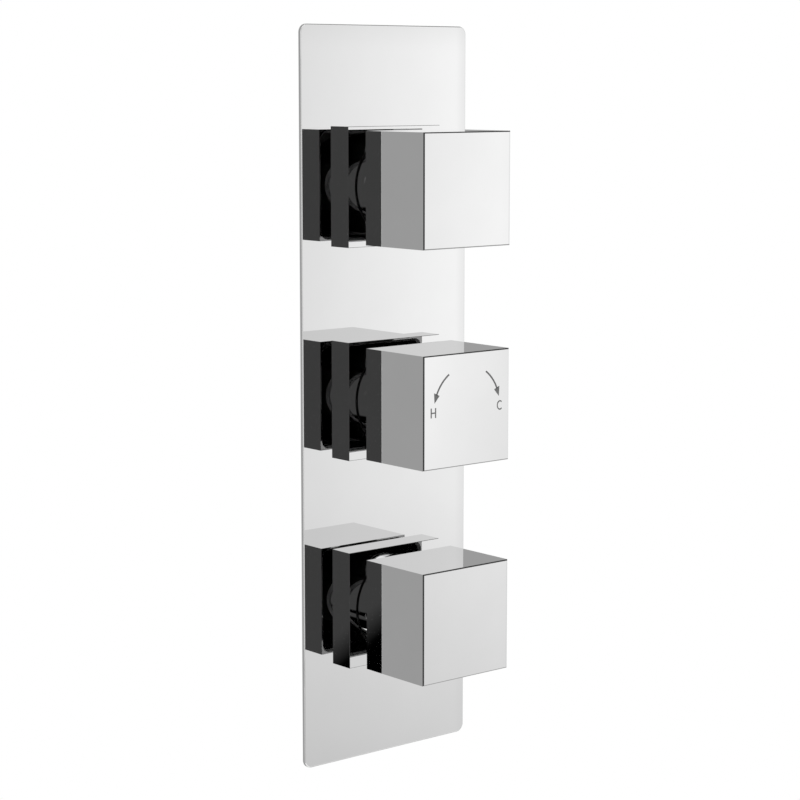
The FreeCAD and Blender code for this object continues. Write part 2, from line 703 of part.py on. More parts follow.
def make_sleeve(z):
    outer_r = THREAD_R
    lip_y = SHUTTLE_BACK + SLEEVE_LIP_GAP
    lip_r = SLEEVE_BORE_R - SLEEVE_LIP
    sleeve = turned(
        [
            (outer_r, THERMO_END),
            (outer_r, FLOOR_Y),
            (SLEEVE_END_HOLE_R, FLOOR_Y),
            (SLEEVE_END_HOLE_R, SLEEVE_INNER_END),
            (SLEEVE_BORE_R, SLEEVE_INNER_END),
            (SLEEVE_BORE_R, lip_y + SLEEVE_LIP_T),
            (lip_r, lip_y + SLEEVE_LIP_T),
            (lip_r, lip_y),
            (SLEEVE_BORE_R, lip_y),
            (SLEEVE_BORE_R, THERMO_END),
        ],
        z,
    )
    windows = []
    for middle, start in ((180, SHUTTLE_FRONT - SLEEVE_WINDOW / 2), (0, SHUTTLE_BACK - SLEEVE_WINDOW / 2)):
        first, last = middle - SLEEVE_WINDOW_HALF_DEG, middle + SLEEVE_WINDOW_HALF_DEG
        end = start + SLEEVE_WINDOW
        windows.append(sector(SLEEVE_BORE_R - OVER, outer_r + OVER, first, last, start, end, z))
    return cut(sleeve, *windows)


def make_return_spring(z):
    spring, gap = coil(RETURN_SPRING_R, RETURN_WIRE_R, SLEEVE_INNER_END - SHUTTLE_BACK, RETURN_TURNS)
    spring.rotate(vec(0, 0, 0), vec(1, 0, 0), -90)
    spring.translate(vec(0, SHUTTLE_BACK, z))
    print("return spring least gap", round(gap, 3))
    return spring


def make_valve_body():
    towers = [cyl_y(TOWER_R, TOWER_FRONT, TOWER_BACK, z) for z in ROWS.values()]
    towers = [t.makeFillet(CASTING_EDGE, edges_at(t, TOWER_BACK)) for t in towers]
    duct_wall = cyl_z(DUCT_R + DUCT_WALL, -KNOB_PITCH, KNOB_PITCH, 0, DUCT_Y)
    rib_start = DUCT_Y - CASTING_RIB_Y
    rib = block(CASTING_RIB_W, 2 * KNOB_PITCH, rib_start, DUCT_Y, 0)
    inlets = cyl_x(PORT_BOSS_R, -INLET_FACE, INLET_FACE, PORTS_Y, 0)
    outlets = [
        cyl_z(PORT_BOSS_R, KNOB_PITCH, OUTLET_FACE, 0, PORTS_Y),
        cyl_z(PORT_BOSS_R, -OUTLET_FACE, -KNOB_PITCH, 0, PORTS_Y),
    ]
    body = joined(towers[0], *towers[1:], duct_wall, rib, inlets, *outlets)
    tools = [cyl_z(DUCT_R, -KNOB_PITCH, KNOB_PITCH, 0, DUCT_Y)]
    for z in ROWS.values():
        tools.append(cyl_y(CHAMBER_R, TOWER_FRONT - OVER, FLOOR_Y, z))
        tools.append(cyl_y(SEAL_COUNTERBORE_R, TOWER_FRONT - OVER, TOWER_FRONT + BONNET_SEAL_T, z))
        tools.append(cyl_y(FLOOR_HOLE_R, FLOOR_Y - OVER, DUCT_Y, z))
    for side in map(inlet_sign, INLETS):
        near, far = sorted((side * CAGE_START, side * (INLET_FACE + OVER)))
        tools.append(cyl_x(PORT_BORE_R, near, far, PORTS_Y, 0))
        near, far = sorted((side * (CHAMBER_R - OVER), side * (CAGE_START + OVER)))
        tools.append(cyl_x(INLET_HOLE_R, near, far, PORTS_Y, 0))
    for side in (-1, 1):
        near, far = sorted((side * (OUTLET_FACE - SPIGOT_DEPTH), side * (OUTLET_FACE + OVER)))
        tools.append(cyl_z(PORT_BORE_R, near, far, 0, PORTS_Y))
        near, far = sorted((side * (KNOB_PITCH + SKIRT_R), side * OUTLET_FACE))
        tools.append(cyl_z(OUTLET_HOLE_R, near, far, 0, PORTS_Y))
    for x, z in screw_places():
        depth = TOWER_BACK - BODY_SCREW_LENGTH - OVER
        tools.append(cyl_y(BODY_SCREW_R + RUN_CLEARANCE, depth, TOWER_BACK + OVER, z, x))
    return cut(body, *tools)


def screw_places():
    return [(x, z) for x in (-SCREW_X, SCREW_X) for z in (-KNOB_PITCH, KNOB_PITCH)]


def along_port(solid, name):
    """Moves a piece made along +Z, with z = 0 on the face of its boss, to that boss."""
    placed = solid.copy()
    if name in INLETS:
        placed.rotate(vec(0, 0, 0), vec(0, 1, 0), 90 * inlet_sign(name))
        placed.translate(vec(inlet_sign(name) * INLET_FACE, PORTS_Y, 0))
    elif name == "upper":
        placed.translate(vec(0, PORTS_Y, OUTLET_FACE))
    else:
        placed.rotate(vec(0, 0, 0), vec(1, 0, 0), 180)
        placed.translate(vec(0, PORTS_Y, -OUTLET_FACE))
    return placed


def make_union():
    spigot = cyl_z(PORT_BORE_R - RUN_CLEARANCE, -SPIGOT_DEPTH, WASHER_T, 0, 0)
    end = WASHER_T + UNION_HEX_LENGTH
    nut = hex_nut(UNION_HEX_AF, WASHER_T, end)
    port = cyl_z(PORT_R, end - PORT_LENGTH, end + OVER, 0, 0)
    passage = cyl_z(UNION_PASSAGE_R, -SPIGOT_DEPTH - OVER, end, 0, 0)
    return cut(joined(spigot, nut), port, passage)


def make_washer():
    disc = cyl_z(UNION_HEX_AF / 2 - WASHER_RIM, 0, WASHER_T, 0, 0)
    return cut(disc, cyl_z(PORT_BORE_R + RUN_CLEARANCE, -OVER, WASHER_T + OVER, 0, 0))


def make_filter():
    """Perforated disc behind the spigot of an inlet union."""
    start = -SPIGOT_DEPTH - FILTER_T
    disc = cyl_z(PORT_BORE_R - RUN_CLEARANCE, start, -SPIGOT_DEPTH, 0, 0)
    holes = [cyl_z(FILTER_HOLE_R, start - OVER, -SPIGOT_DEPTH + OVER, 0, 0)]
    for circle, count in ((1, 6), (2, 12)):
        for i in range(count):
            angle = 2 * math.pi * i / count
            x, y = circle * FILTER_PITCH * math.cos(angle), circle * FILTER_PITCH * math.sin(angle)
            holes.append(cyl_z(FILTER_HOLE_R, start - OVER, -SPIGOT_DEPTH + OVER, x, y))
    return cut(disc, *holes)


def make_cage():
    end = -SPIGOT_DEPTH - FILTER_T
    start = end - CAGE_LENGTH
    tube = cyl_z(PORT_BORE_R - RUN_CLEARANCE, start, end, 0, 0)
    tube = cut(
        tube,
        cyl_z(CAGE_BORE_R, start - OVER, end - CAGE_SEAT_T, 0, 0),
        cyl_z(CAGE_SEAT_R, start, end + OVER, 0, 0),
    )
    hub = cyl_z(CAGE_HUB_R, start, start + CAGE_HUB_T, 0, 0)
    spokes = []
    for i in range(CAGE_SPOKES):
        spoke = Part.makeBox(CAGE_BORE_R + OVER, CAGE_SPOKE_W, CAGE_HUB_T, vec(0, -CAGE_SPOKE_W / 2, start))
        spoke.rotate(vec(0, 0, 0), vec(0, 0, 1), WHOLE_TURN_DEG * i / CAGE_SPOKES)
        spokes.append(spoke)
    cage = joined(tube, hub, *spokes)
    return cut(cage, cyl_z(STEM_R + RUN_CLEARANCE, start - OVER, start + CAGE_HUB_T + OVER, 0, 0))


def poppet_span():
    seat = -SPIGOT_DEPTH - FILTER_T - CAGE_SEAT_T
    return seat - POPPET_HEAD_T, seat


def make_poppet():
    head_start, seat = poppet_span()
    head = cyl_z(POPPET_R, head_start, seat, 0, 0)
    stem_end = -SPIGOT_DEPTH - FILTER_T - CAGE_LENGTH - STEM_TAIL
    return joined(head, cyl_z(STEM_R, stem_end, head_start, 0, 0))


def make_check_spring():
    hub_end = -SPIGOT_DEPTH - FILTER_T - CAGE_LENGTH + CAGE_HUB_T
    head_start = poppet_span()[0]
    spring, gap = coil(CHECK_SPRING_R, CHECK_WIRE_R, head_start - hub_end, CHECK_TURNS)
    spring.translate(vec(0, 0, hub_end))
    print("check spring least gap", round(gap, 3))
    return spring


def make_bracket():
    plate = rounded_block(BRACKET_W, BRACKET_H, BRACKET_CORNER_R, TOWER_BACK, BRACKET_BACK, 0)
    tools = []
    for x in (-FIXING_X, FIXING_X):
        for z in (-FIXING_Z, FIXING_Z):
            tools.append(cyl_y(FIXING_HOLE_R, TOWER_BACK - OVER, BRACKET_BACK + OVER, z, x))
    for x, z in screw_places():
        tools.append(screw_outline(x, z, SIDE_CLEARANCE, TOWER_BACK - OVER))
    return cut(plate, *tools)


def screw_outline(x, z, clearance, start):
    """Countersunk screw from behind; its hole is cut with a clearance."""
    shank_r = BODY_SCREW_R + clearance
    head_y = BRACKET_BACK - BODY_SCREW_HEAD_T
    points = [
        (0, start),
        (shank_r, start),
        (shank_r, head_y),
        (BODY_SCREW_HEAD_R + clearance, BRACKET_BACK),
        (0, BRACKET_BACK),
    ]
    screw = turned(points, z)
    screw.translate(vec(x, 0, 0))
    return screw


def make_bracket_screw(x, z):
    screw = screw_outline(x, z, 0.0, TOWER_BACK - BODY_SCREW_LENGTH)
    socket_start = BRACKET_BACK - BODY_SCREW_SOCKET_DEPTH
    socket = prism_y(hexagon(BODY_SCREW_SOCKET_AF), socket_start, BRACKET_BACK + OVER, z)
    socket.translate(vec(x, 0, 0))
    return cut(screw, socket)


def make_all():
    all_rows = list(ROWS.values())
    seal_start, seal_end = collar_seal_span(0.0)
    spindle_r = SPINDLE_R + RUN_CLEARANCE
    seat_in_r = DISC_PORT_OUT_R + SIDE_CLEARANCE
    bonnet_seal_end = TOWER_FRONT + BONNET_SEAL_T
    pieces = {
        "faceplate": make_faceplate(),
        "plate_gasket": gasket_frame(SIDE_CLEARANCE, 0.0),
        "collar_seals": [ring(COLLAR_GROOVE_R, COLLAR_HOLE_R, seal_start, seal_end, z) for z in all_rows],
        "spindle_seals": [
            ring(spindle_r, SPINDLE_SEAL_R, y, y + SPINDLE_SEAL_W, z) for z in all_rows for y in SEAL_YS
        ],
        "bonnet_seals": [
            ring(CHAMBER_R, SEAL_COUNTERBORE_R, TOWER_FRONT, bonnet_seal_end, z) for z in all_rows
        ],
        "seat_seals": [
            ring(seat_in_r, seat_in_r + SEAT_SEAL_W, FIXED_BACK, FLOOR_Y, z) for z in FLOW_ROWS.values()
        ],
        "valve_body": make_valve_body(),
        "wall_bracket": make_bracket(),
        "bracket_screws": [make_bracket_screw(x, z) for x, z in screw_places()],
        "middle_bonnet": make_thermo_bonnet(ROWS["middle"]),
        "middle_spindle": make_thermo_spindle(ROWS["middle"]),
        "stop_ring": make_stop_ring(ROWS["middle"]),
        "drive_nut": make_drive_nut(ROWS["middle"]),
        "wax_element": make_wax_element(ROWS["middle"]),
        "shuttle": make_shuttle(ROWS["middle"]),
        "thermostat_sleeve": make_sleeve(ROWS["middle"]),
        "return_spring": make_return_spring(ROWS["middle"]),
    }
    for name, z in ROWS.items():
        pieces[name + "_collar"] = make_collar(z)
        pieces[name + "_shroud"] = make_shroud(z)
        pieces[name + "_knob"] = make_knob(z, name == "middle")
        pieces[name + "_spline_insert"] = make_insert(z)
        pieces[name + "_grub_screw"] = make_grub_screw(z)
    for name, z in FLOW_ROWS.items():
        pieces[name + "_bonnet"] = make_flow_bonnet(z)
        pieces[name + "_spindle"] = make_flow_spindle(z)
        pieces[name + "_moving_disc"] = make_moving_disc(z)
        pieces[name + "_fixed_disc"] = make_fixed_disc(z)
        pieces[name + "_outlet_union"] = along_port(make_union(), name)
    spring = make_check_spring()
    for name in INLETS:
        pieces[name + "_inlet_union"] = along_port(make_union(), name)
        pieces[name + "_check_cage"] = along_port(make_cage(), name)
        pieces[name + "_check_poppet"] = along_port(make_poppet(), name)
        pieces[name + "_check_spring"] = along_port(spring, name)
    pieces["union_washers"] = [along_port(make_washer(), name) for name in (*INLETS, *FLOW_ROWS)]
    pieces["inlet_filters"] = [along_port(make_filter(), name) for name in INLETS]
    return pieces


os.makedirs("parts", exist_ok=True)
for node, shape in make_all().items():
    solids = shape if isinstance(shape, list) else [shape]
    for solid in solids:
        if len(solid.Solids) != 1 or not solid.isValid():
            print("check", node, len(solid.Solids), solid.isValid())
    whole = Part.makeCompound(solids) if len(solids) > 1 else solids[0].Solids[0]
    whole.exportStep("parts/" + node + ".step")
print("pieces written")
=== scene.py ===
import json
import math

import bpy
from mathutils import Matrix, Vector


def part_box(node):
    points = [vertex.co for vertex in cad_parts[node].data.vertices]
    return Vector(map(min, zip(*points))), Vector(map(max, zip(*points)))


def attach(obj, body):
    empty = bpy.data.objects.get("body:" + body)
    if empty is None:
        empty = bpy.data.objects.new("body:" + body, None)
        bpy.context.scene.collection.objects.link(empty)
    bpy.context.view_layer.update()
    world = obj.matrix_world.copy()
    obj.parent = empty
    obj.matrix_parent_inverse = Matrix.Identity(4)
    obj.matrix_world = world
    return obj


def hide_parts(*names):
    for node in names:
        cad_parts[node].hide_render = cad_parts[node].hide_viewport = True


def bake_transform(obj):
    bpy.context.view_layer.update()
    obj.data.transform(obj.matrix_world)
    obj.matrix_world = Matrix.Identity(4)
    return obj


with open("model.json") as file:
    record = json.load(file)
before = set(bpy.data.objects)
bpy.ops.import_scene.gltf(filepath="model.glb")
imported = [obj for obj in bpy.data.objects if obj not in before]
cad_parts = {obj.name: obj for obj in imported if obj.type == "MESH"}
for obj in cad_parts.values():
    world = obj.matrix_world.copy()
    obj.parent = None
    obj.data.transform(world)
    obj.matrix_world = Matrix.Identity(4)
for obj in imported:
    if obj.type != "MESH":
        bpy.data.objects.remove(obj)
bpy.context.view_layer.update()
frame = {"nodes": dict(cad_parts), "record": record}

NODES = frame["nodes"]
KNOBS = ("upper_knob", "middle_knob", "lower_knob")
SLOT_OF = {part["node"]: part["material_slot"] for part in frame["record"]["subparts"]}

# Springs: the body that pushes each one, and the direction from there to the end that stays
SPRINGS = {
    "return_spring": ("regulator", (0.0, 1.0, 0.0)),
    "hot_check_spring": ("hot_check", (1.0, 0.0, 0.0)),
    "cold_check_spring": ("cold_check", (-1.0, 0.0, 0.0)),
}

# Camera at the photo's angle: place and clipping in metres, angles in degrees, lens in millimetres
CAMERA_AT = Vector((-0.58269, -0.70532, 0.12886))
CAMERA_YAW = 40.0016
CAMERA_PITCH = -8.1468
CAMERA_LENS = 101.106
SENSOR = 36.0
CLIP_START = 0.01
CLIP_END = 50.0

# Marks on the face of the temperature knob, in metres and degrees
MARK_T = 0.00004
MARK_GAP = 0.00002
LETTER_X = 0.0175
LETTER_H = 0.0039
LETTER_W = 0.00275
STROKE = 0.00052
C_ARC = (48.0, 312.0)
C_WIDENING = 1.15
C_STEPS = 20
ARROW_R = 0.0173
ARROW_W = 0.00068
ARROW_STEPS = 14
HEAD_LENGTH = 0.0036
HEAD_W = 0.0030
HEAD_OVERLAP = 1.0
HOT_ARC = (123.0, 167.5)
COLD_ARC = (55.0, 12.5)

# Studio, in metres
WALL_Y = -0.0004
WALL_HALF = 4.0
WALL_HOLE_X = 0.041
WALL_HOLE_Z = 0.148
FLOOR_Z = -0.9
BOARD_Y = -0.0006
BOARD_HALF = 0.7
BOARD_LEVEL = 0.36
CARD_DISTANCE = 2.2
SOFTBOX_DISTANCE = 2.4

# Light: levels, and the softbox's fall from side to side and from its foot to its head
SURROUND_LIGHT = 0.4
FLAG_LEVEL = 0.055
FLAG_SLANT = 0.82
FLAG_FADE = (-0.703, -0.655)
UNDER_FADE = (-0.02, 0.05)
GRADED_FROM = -1.1
GRADED_TO = 0.6
GRADED_LEVELS = (0.34, 0.93)
SOFTBOX_PEAK = 1.035
SOFTBOX_EVENING = 2.5
SOFTBOX_ACROSS = (-0.13, 0.45)
SOFTBOX_ACROSS_STOPS = ((0.0, 0.87), (0.224, 1.0), (1.0, 0.62))
SOFTBOX_UPRIGHT = (-1.2, 1.0)
SOFTBOX_UPRIGHT_STOPS = (
    (0.0, 0.43), (0.164, 0.705), (0.236, 0.79), (0.277, 0.833), (0.329, 0.912),
    (0.418, 0.985), (0.46, 1.0), (0.623, 1.0), (0.672, 0.745), (0.755, 0.765), (1.0, 0.76),
)

# Polish: how far the middle knob's face leans, and where and how much right edges are rolled
KNOB_LEAN = 0.021
PLATE_ROLL = (0.038, 1.75)
KNOB_ROLL = (0.0215, 120.0)
KNOB_SEED = 13.0

# Faces of a knob with a material of their own, the hollow and back edge in painted shade: width of its back
# edge, depth and level of a flat face
KNOB_RIM = 0.0006
FACE_DEPTH = 0.0001
LEVEL = 0.99

# Range of a noise texture that carries nearly all of its values
NOISE_LOW = 0.3
NOISE_HIGH = 0.7
NOISE_ROUGHNESS = 0.55
RINGS_PER_UNIT = 20 / (2 * math.pi)

# Turned metal: pitch of its rings and depth of the inlet and outlet axes in metres, its tones and axes
TURNING_PITCH = 0.0005
PORTS_Y = 0.032
BRASS = ((0.66, 0.47, 0.20), (0.80, 0.61, 0.30))
COPPER = ((0.55, 0.27, 0.16), (0.70, 0.38, 0.24))
TURNED_AXIS = {
    "hot_inlet_union": "X",
    "cold_inlet_union": "X",
    "upper_outlet_union": "Z",
    "lower_outlet_union": "Z",
}

# Steel slots: dark tone, light tone and how tightly the drawn lines lie along X, Y and Z
STEEL = {
    "bracket_steel": ((0.50, 0.51, 0.52), (0.66, 0.66, 0.64), (2200.0, 2200.0, 60.0)),
    "screw_steel": ((0.42, 0.43, 0.44), (0.58, 0.58, 0.59), (900.0, 900.0, 900.0)),
    "filter_steel": ((0.5, 0.5, 0.5), (0.62, 0.62, 0.62), (1500.0, 900.0, 900.0)),
    "spring_steel": ((0.42, 0.42, 0.44), (0.55, 0.55, 0.57), (2500.0, 300.0, 2500.0)),
}

# Moulded slots: dark tone, light tone, roughness and scale of the skin's grain
SKIN_GRAIN = 1500.0
SKIN_SPREAD = 0.07
MOULDED = {
    "seal_rubber": ((0.018, 0.018, 0.018), (0.035, 0.035, 0.035), 0.55, SKIN_GRAIN),
    "stop_plastic": ((0.55, 0.06, 0.05), (0.68, 0.09, 0.07), 0.45, SKIN_GRAIN),
    "insert_plastic": ((0.76, 0.76, 0.73), (0.84, 0.84, 0.82), 0.4, SKIN_GRAIN),
    "cartridge_plastic": ((0.045, 0.045, 0.05), (0.075, 0.075, 0.08), 0.42, SKIN_GRAIN),
    "check_plastic": ((0.72, 0.72, 0.69), (0.80, 0.80, 0.78), 0.4, SKIN_GRAIN),
    "fibre_washer": ((0.25, 0.05, 0.035), (0.38, 0.09, 0.06), 0.75, 700.0),
    "ceramic": ((0.86, 0.86, 0.83), (0.90, 0.90, 0.88), 0.2, 2500.0),
}
MARK_PAINT = ((0.115, 0.115, 0.115), (0.145, 0.145, 0.145), 0.45, 4000.0)


def link(obj):
    bpy.context.scene.collection.objects.link(obj)
    return obj


def mesh_object(name, points, faces):
    mesh = bpy.data.meshes.new(name)
    mesh.from_pydata(points, [], faces)
    mesh.update()
    return link(bpy.data.objects.new(name, mesh))


class Shader:
    """Small helper that wires the nodes of one material."""

    def __init__(self, name):
        self.material = bpy.data.materials.new(name)
        self.material.use_nodes = True
        self.tree = self.material.node_tree
        self.bsdf = self.tree.nodes["Principled BSDF"]
        self.output = self.tree.nodes["Material Output"]

    def node(self, kind, inputs=None, **settings):
        made = self.tree.nodes.new(kind)
        for key, value in settings.items():
            setattr(made, key, value)
        for key, value in (inputs or {}).items():
            self.feed(made.inputs[key], value)
        return made

    def feed(self, socket, value):
        """Gives a socket a constant or the output of another node."""
        if isinstance(value, bpy.types.NodeSocket):
            self.tree.links.new(value, socket)
        else:
            socket.default_value = value

    def set(self, key, value):
        self.feed(self.bsdf.inputs[key], value)

    def coords(self, scale=(1.0, 1.0, 1.0), place=(0.0, 0.0, 0.0)):
        """Object coordinates, moved to a place and stretched."""
        source = self.node("ShaderNodeTexCoord").outputs["Object"]
        moved = self.node("ShaderNodeVectorMath", {0: source, 1: place}, operation="SUBTRACT").outputs[0]
        return self.node("ShaderNodeVectorMath", {0: moved, 1: scale}, operation="MULTIPLY").outputs[0]

    def noise(self, scale, detail=3.0, vector=None):
        inputs = {
            "Vector": vector or self.coords(),
            "Scale": scale,
            "Detail": detail,
            "Roughness": NOISE_ROUGHNESS,
        }
        return self.node("ShaderNodeTexNoise", inputs).outputs["Fac"]

    def span(self, value, low, high, start=NOISE_LOW, end=NOISE_HIGH):
        """Carries a value's range from start to end over to the range from low to high."""
        inputs = {"Value": value, "From Min": start, "From Max": end, "To Min": low, "To Max": high}
        return self.node("ShaderNodeMapRange", inputs).outputs["Result"]

    def mix(self, value, dark, light):
        ramp = self.node("ShaderNodeValToRGB", {"Fac": value})
        for element, position, tone in zip(ramp.color_ramp.elements, (NOISE_LOW, NOISE_HIGH), (dark, light)):
            element.position = position
            element.color = (*tone, 1.0)
        return ramp.outputs["Color"]

    def levels(self, value, stops):
        """Grey level along a value, from stops of position and level."""
        node = self.node("ShaderNodeValToRGB", {"Fac": value})
        elements = node.color_ramp.elements
        while len(elements) < len(stops):
            elements.new(0.5)
        for element, (position, level) in zip(elements, stops):
            element.position = position
            element.color = (level, level, level, 1.0)
        return node.outputs["Color"]

    def math(self, operation, first, second=0.0):
        return self.node("ShaderNodeMath", {0: first, 1: second}, operation=operation).outputs[0]

    def axis(self, name):
        return self.node("ShaderNodeSeparateXYZ", {0: self.coords()}).outputs[name]

    def bump(self, height, strength, distance):
        """Adds relief on top of the relief that the shader already has."""
        inputs = {"Height": height, "Strength": strength, "Distance": distance}
        socket = self.bsdf.inputs["Normal"]
        if socket.is_linked:
            inputs["Normal"] = socket.links[0].from_socket
        self.set("Normal", self.node("ShaderNodeBump", inputs).outputs["Normal"])

    def rings(self, axis, pitch, place):
        """Turning marks: rings of a stated pitch round an axis."""
        inputs = {
            "Vector": self.coords(place=place),
            "Scale": 1.0 / RINGS_PER_UNIT / pitch,
            "Distortion": 0.4,
            "Detail": 1.0,
        }
        wave = self.node("ShaderNodeTexWave", inputs, wave_type="RINGS", rings_direction=axis)
        return wave.outputs["Fac"]


def chrome(name, seed, lean=0.0, roll=None):
    """Mirror-polished plating: faint polishing marks and smears in the gloss.

    A face may lean a little to the right, and its right edge may be rolled by polishing.
    """
    s = Shader(name)
    smear = s.noise(scale=38.0 + seed, detail=4.0)
    lay = s.noise(scale=900.0, detail=2.0, vector=s.coords(scale=(1.0, 1.0, 0.06)))
    s.set("Metallic", 1.0)
    s.set("Base Color", s.mix(smear, dark=(0.862, 0.862, 0.862), light=(0.880, 0.880, 0.880)))
    s.set("Roughness", s.math("ADD", s.span(smear, low=0.008, high=0.022), s.span(lay, low=0.0, high=0.006)))
    if lean:
        s.bump(s.math("MULTIPLY", s.axis("X"), -1.0), strength=1.0, distance=lean)
    if roll:
        start, amount = roll
        past = s.math("MAXIMUM", s.math("SUBTRACT", s.axis("X"), start), 0.0)
        fall = s.math("MULTIPLY", s.math("MULTIPLY", past, past), -1.0)
        s.bump(fall, strength=1.0, distance=amount)
    s.bump(s.noise(scale=70.0, detail=1.0), strength=0.02, distance=0.00002)
    return s.material


def hollow_painted_shade(name):
    """Unpolished, thinly plated inside of a die-cast knob, with its near-black colour as painted shade in
    the hollow.
    """
    s = Shader(name)
    grain = s.noise(scale=700.0, detail=4.0)
    s.set("Metallic", 1.0)
    # Near-black colour: painted shade inside the knob's hollow
    s.set("Base Color", s.mix(s.noise(scale=60.0), dark=(0.07, 0.07, 0.07), light=(0.11, 0.11, 0.11)))
    s.set("Roughness", s.span(grain, low=0.38, high=0.55))
    s.bump(grain, strength=0.25, distance=0.0001)
    return s.material


def back_edge_painted_shade(name):
    """Narrow back edge of a knob, less polished than its face, and darkened to grey as painted shade."""
    s = Shader(name)
    smear = s.noise(scale=300.0)
    s.set("Metallic", 1.0)
    # Grey colour: painted shade on the knob's back edge
    s.set("Base Color", s.mix(smear, dark=(0.30, 0.30, 0.30), light=(0.36, 0.36, 0.36)))
    s.set("Roughness", s.span(smear, low=0.03, high=0.07))
    s.bump(s.noise(scale=900.0, detail=2.0), strength=0.03, distance=0.00002)
    return s.material


def cast_brass(name):
    """Sand-cast brass: grainy skin, darker in patches."""
    s = Shader(name)
    patch = s.noise(scale=55.0, detail=5.0)
    grain = s.noise(scale=1100.0, detail=4.0)
    s.set("Metallic", 1.0)
    s.set("Base Color", s.mix(patch, dark=(0.52, 0.36, 0.15), light=(0.72, 0.54, 0.26)))
    s.set("Roughness", s.span(grain, low=0.36, high=0.58))
    s.bump(grain, strength=0.45, distance=0.00025)
    return s.material


def turned_metal(name, axis, place, dark, light):
    """Turned metal: fine rings round its axis and a little tarnish."""
    s = Shader(name)
    rings = s.rings(axis, TURNING_PITCH, place)
    tarnish = s.noise(scale=90.0, detail=4.0)
    s.set("Metallic", 1.0)
    s.set("Base Color", s.mix(tarnish, dark, light))
    s.set("Roughness", s.span(tarnish, low=0.17, high=0.30))
    s.bump(rings, strength=0.18, distance=0.00006)
    return s.material


def brushed_steel(name, dark, light, stretch):
    """Plated steel with drawn lines."""
    s = Shader(name)
    lines = s.noise(scale=1.0, vector=s.coords(scale=stretch))
    cloud = s.noise(scale=45.0)
    s.set("Metallic", 1.0)
    s.set("Base Color", s.mix(cloud, dark, light))
    s.set("Roughness", s.span(lines, low=0.24, high=0.44))
    s.bump(lines, strength=0.12, distance=0.00005)
    return s.material


def moulded(name, dark, light, rough, grain):
    """Moulded plastic, rubber, fibre or ceramic with a fine skin."""
    s = Shader(name)
    cloud = s.noise(scale=120.0)
    skin = s.noise(scale=grain)
    s.set("Base Color", s.mix(cloud, dark, light))
    s.set("Roughness", s.span(skin, low=rough - SKIN_SPREAD, high=rough + SKIN_SPREAD))
    s.bump(skin, strength=0.2, distance=0.00006)
    return s.material


def foam(name):
    """Closed-cell foam strip."""
    s = Shader(name)
    cells = s.node("ShaderNodeTexVoronoi", {"Vector": s.coords(), "Scale": 1800.0}).outputs["Distance"]
    s.set("Base Color", s.mix(cells, dark=(0.05, 0.05, 0.052), light=(0.11, 0.11, 0.112)))
    s.set("Roughness", 0.9)
    s.bump(cells, strength=0.6, distance=0.0002)
    return s.material


def row_height(node):
    low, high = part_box(node)
    return (low.z + high.z) / 2


def dress_nodes():
    """Gives each CAD node the finish of its slot, and the knobs materials of their own on their faces:
    polished fronts, and painted shade in the hollow and on the back edge.
    """
    shared = {
        "chrome_plate": chrome("chrome_plate", 0.0, roll=PLATE_ROLL),
        "chrome_trim": chrome("chrome_trim", 7.0),
        "chrome_knob": chrome("chrome_knob", KNOB_SEED),
        "foam": foam("foam"),
        "cast_brass": cast_brass("cast_brass"),
    }
    shared.update({slot: brushed_steel(slot, *finish) for slot, finish in STEEL.items()})
    shared.update({slot: moulded(slot, *finish) for slot, finish in MOULDED.items()})
    for node, obj in NODES.items():
        slot = SLOT_OF[node]
        if slot in shared:
            material = shared[slot]
        elif slot == "element_copper":
            material = turned_metal(slot, "Y", (0.0, 0.0, 0.0), *COPPER)
        else:
            axis = TURNED_AXIS.get(node, "Y")
            place = (0.0, PORTS_Y, 0.0) if axis != "Y" else (0.0, 0.0, row_height(node))
            material = turned_metal(slot + "_" + node, axis, place, *BRASS)
        obj.data.materials.clear()
        obj.data.materials.append(material)
    # The knob's hollow and back edge get dark colours as painted shade
    inside, rim = hollow_painted_shade("knob_inside_shade"), back_edge_painted_shade("knob_rim_shade")
    even = chrome("knob_face", KNOB_SEED, roll=KNOB_ROLL)
    leaning = chrome("leaning_face", KNOB_SEED, lean=KNOB_LEAN, roll=KNOB_ROLL)
    for node in KNOBS:
        dress_inside(node, inside)
        dress_rim(node, rim)
        dress_front(node, leaning if node == "middle_knob" else even)


def dress_faces(node, material, chosen):
    """Gives the faces of a node that are chosen their own finish."""
    mesh = NODES[node].data
    mesh.materials.append(material)
    for face in mesh.polygons:
        if chosen(face):
            face.material_index = len(mesh.materials) - 1


def knob_back():
    """Depth just in front of the knobs' back edge, from a knob with no stop behind it."""
    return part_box("upper_knob")[1].y - FACE_DEPTH


def dress_inside(node, material):
    """Painted shade for a knob's hollow, with its flared mouth."""
    low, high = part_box(node)
    half = (high.x - low.x) / 2 - KNOB_RIM
    front, back, middle = low.y + FACE_DEPTH, knob_back(), row_height(node)

    def hollow(face):
        x, y, z = face.center
        return max(abs(x), abs(z - middle)) < half and front < y < back

    dress_faces(node, material, hollow)


def dress_rim(node, material):
    """Painted shade on a knob's narrow back edge."""
    back = knob_back()
    dress_faces(node, material, lambda face: face.center.y > back and face.normal.y > LEVEL)


def dress_front(node, material):
    """Finish of a knob's front face."""
    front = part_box(node)[0].y + FACE_DEPTH
    dress_faces(node, material, lambda face: face.center.y < front)


def add_springs():
    """Copies of the springs' meshes, set in place, which take the place of the CAD nodes."""
    for node, (body, towards) in SPRINGS.items():
        low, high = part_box(node)
        middle, half = (low + high) / 2, (high - low) / 2
        reach = Vector(step * size for step, size in zip(towards, half))
        wire = link(bpy.data.objects.new(node + "_wire", NODES[node].data.copy()))
        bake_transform(wire)
        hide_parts(node)


